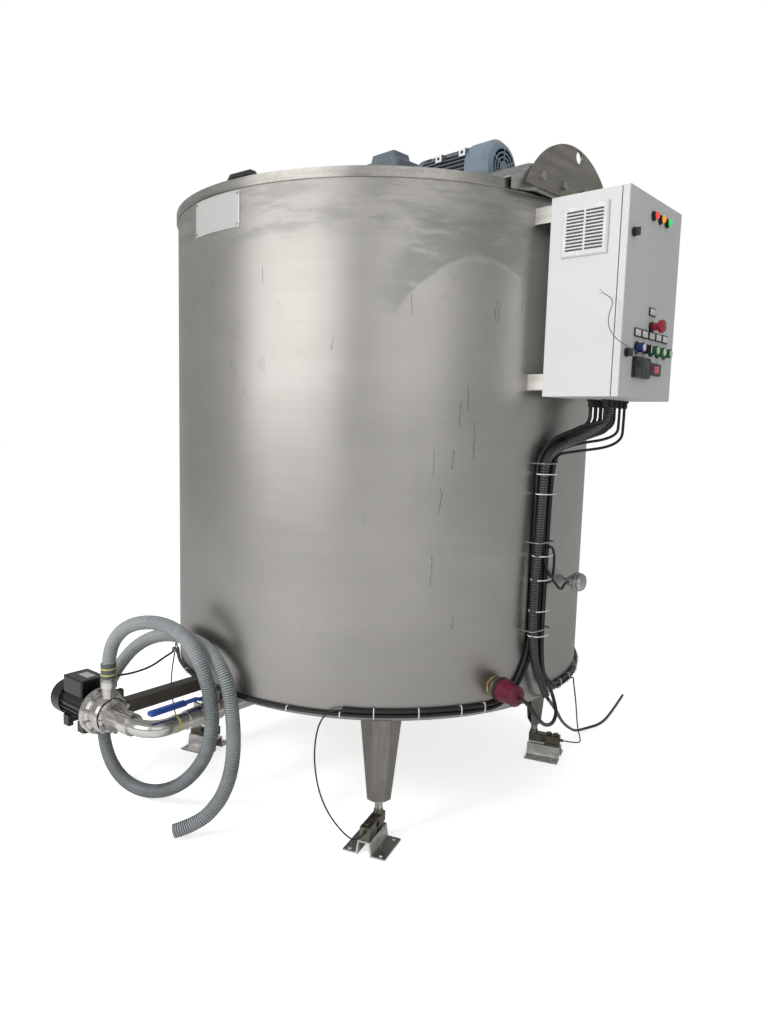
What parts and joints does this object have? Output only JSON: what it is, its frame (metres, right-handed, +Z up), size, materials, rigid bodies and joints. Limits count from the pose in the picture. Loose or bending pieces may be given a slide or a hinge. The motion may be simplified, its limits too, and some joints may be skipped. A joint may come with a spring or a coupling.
{
  "type": "heated_mixing_tank",
  "caption": "Jacketed stainless mixing tank on weighing feet with bridge drive, electric heater, control enclosure and discharge pump with hose",
  "frame": {"origin": "on the vertical axis of the tank at floor level", "axes": "+Z up, the front leg lies along -Y, the control enclosure stands between -Y and +X"},
  "size_m": [2.5844, 1.7412, 2.4543],
  "materials": {
    "shell_steel": "brushed stainless steel with swirl marks",
    "vessel_steel": "satin stainless steel",
    "wool": "mineral wool insulation",
    "cover_steel": "brushed stainless steel sheet",
    "plain_steel": "bright zinc plated steel",
    "shaft_steel": "turned stainless steel",
    "drive_paint": "blue grey machine enamel",
    "fan_paint": "metallic blue grey enamel",
    "leg_steel": "dull folded stainless steel",
    "cell_steel": "alloy steel with a worn satin finish",
    "saddle_steel": "dark rough steel with bright edges",
    "box_paint": "light grey textured powder coat",
    "black_plastic": "black plastic",
    "grille_plastic": "light grey plastic louvre",
    "blue_plastic": "blue push button with a white front",
    "green_plastic": "green push button",
    "red_plastic": "red mushroom head",
    "burgundy_plastic": "burgundy heater cap",
    "cast_head": "cast aluminium connection head",
    "pump_steel": "blasted stainless steel",
    "motor_paint": "grey motor enamel",
    "switch_plastic": "grey and white modular switchgear on a zinc plate",
    "lever_grip": "blue sleeve on a stainless lever",
    "hose_plastic": "translucent grey ribbed hose",
    "cable_black": "black cable sheath",
    "cable_grey": "grey cable sheath"
  },
  "bodies": {
    "tank": {"outer_shell": "shell_steel", "insulation": "wool", "jacket": "vessel_steel", "inner_vessel": "vessel_steel", "top_ring": "shell_steel", "fixed_cover": "cover_steel", "lid_hinges": "plain_steel", "bridge": "cover_steel", "lifting_plates": "cover_steel", "steel_bolts": "plain_steel", "gearbox": "drive_paint", "motor_housing": "drive_paint", "motor_fan_cover": "fan_paint", "bottom_bearing": "shaft_steel", "legs": "leg_steel", "load_cells": "cell_steel", "load_cell_saddles": "saddle_steel", "enclosure_body": "box_paint", "door_hinges": "black_plastic", "enclosure_brackets": "plain_steel", "mounting_plate": "switch_plastic", "filter_grille": "grille_plastic", "cable_glands": "black_plastic", "heater_element": "shaft_steel", "heater_cap": "burgundy_plastic", "temperature_sensor": "cast_head", "pump_casing": "pump_steel", "pump_motor": "motor_paint", "pump_arm": "leg_steel", "suction_pipe": "pump_steel", "valve_body": "pump_steel", "outlet_pipe": "pump_steel", "hose": "hose_plastic", "mains_lead": "cable_black", "front_cell_lead": "cable_grey", "right_cell_lead": "cable_grey", "left_cell_lead": "cable_grey", "pump_lead": "cable_black", "heater_lead": "cable_black", "cable_loom": "cable_black", "cable_hooks": "plain_steel"},
    "lid": {"hinged_lid": "cover_steel", "lid_handle": "black_plastic"},
    "rotor": {"motor_rotor": "shaft_steel"},
    "stirrer": {"agitator": "shaft_steel"},
    "door": {"enclosure_door": "box_paint", "door_fittings": "plain_steel", "door_instruments": "black_plastic", "instrument_wire": "cable_grey"},
    "lower_lock": {"door_lock_lower": "black_plastic"},
    "upper_lock": {"door_lock_upper": "black_plastic"},
    "blue_push": {"blue_button": "blue_plastic"},
    "selector": {"selector_switch": "black_plastic"},
    "green_push_1": {"green_button_1": "green_plastic"},
    "green_push_2": {"green_button_2": "green_plastic"},
    "green_push_3": {"green_button_3": "green_plastic"},
    "stop_push": {"stop_button": "red_plastic"},
    "impeller": {"pump_impeller": "shaft_steel"},
    "valve": {"valve_lever": "lever_grip"}
  },
  "joints": [
    {"name": "stirrer_spin", "type": "hinge", "parent": "tank", "child": "stirrer", "pos_m": [0, 0, 1.4], "axis": [0, 0, 1], "continuous": true},
    {"name": "rotor_spin", "type": "hinge", "parent": "tank", "child": "rotor", "pos_m": [0.28036, -0.2853, 2.296], "axis": [0.7009, -0.7133, 0], "continuous": true},
    {"name": "lid_swing", "type": "hinge", "parent": "tank", "child": "lid", "pos_m": [-0.21825, -0.21448, 2.1603], "axis": [-0.7009, 0.7133, 0], "range_deg": [0, 100]},
    {"name": "door_swing", "type": "hinge", "parent": "tank", "child": "door", "pos_m": [0.91985, -0.57884, 1.803], "axis": [0, 0, 1], "range_deg": [0, 120]},
    {"name": "lower_lock_turn", "type": "hinge", "parent": "door", "child": "lower_lock", "pos_m": [0.68606, -0.864, 1.633], "axis": [0.7314, -0.682, 0], "range_deg": [0, 90]},
    {"name": "upper_lock_turn", "type": "hinge", "parent": "door", "child": "upper_lock", "pos_m": [0.68606, -0.864, 1.976], "axis": [0.7314, -0.682, 0], "range_deg": [0, 90]},
    {"name": "blue_press", "type": "slide", "parent": "door", "child": "blue_push", "axis": [-0.7314, 0.682, 0], "range_m": [0, 0.004], "stiffness_N_per_m": 400},
    {"name": "selector_turn", "type": "hinge", "parent": "door", "child": "selector", "pos_m": [0.77151, -0.77236, 1.653], "axis": [0.7314, -0.682, 0], "range_deg": [-45, 45]},
    {"name": "green_press_1", "type": "slide", "parent": "door", "child": "green_push_1", "axis": [-0.7314, 0.682, 0], "range_m": [0, 0.004], "stiffness_N_per_m": 400},
    {"name": "green_press_2", "type": "slide", "parent": "door", "child": "green_push_2", "axis": [-0.7314, 0.682, 0], "range_m": [0, 0.004], "stiffness_N_per_m": 400},
    {"name": "green_press_3", "type": "slide", "parent": "door", "child": "green_push_3", "axis": [-0.7314, 0.682, 0], "range_m": [0, 0.004], "stiffness_N_per_m": 400},
    {"name": "stop_press", "type": "slide", "parent": "door", "child": "stop_push", "axis": [-0.7314, 0.682, 0], "range_m": [0, 0.005]},
    {"name": "impeller_spin", "type": "hinge", "parent": "tank", "child": "impeller", "pos_m": [-1.012, -0.433, 0.333], "axis": [0.766, -0.6428, 0], "continuous": true},
    {"name": "valve_turn", "type": "hinge", "parent": "tank", "child": "valve", "pos_m": [-0.63251, -0.43813, 0.333], "axis": [0, 0, 1], "range_deg": [-90, 0]}
  ],
  "couplings": [
    {"joint": "rotor_spin", "follows": "stirrer_spin", "ratio": 28}
  ]
}
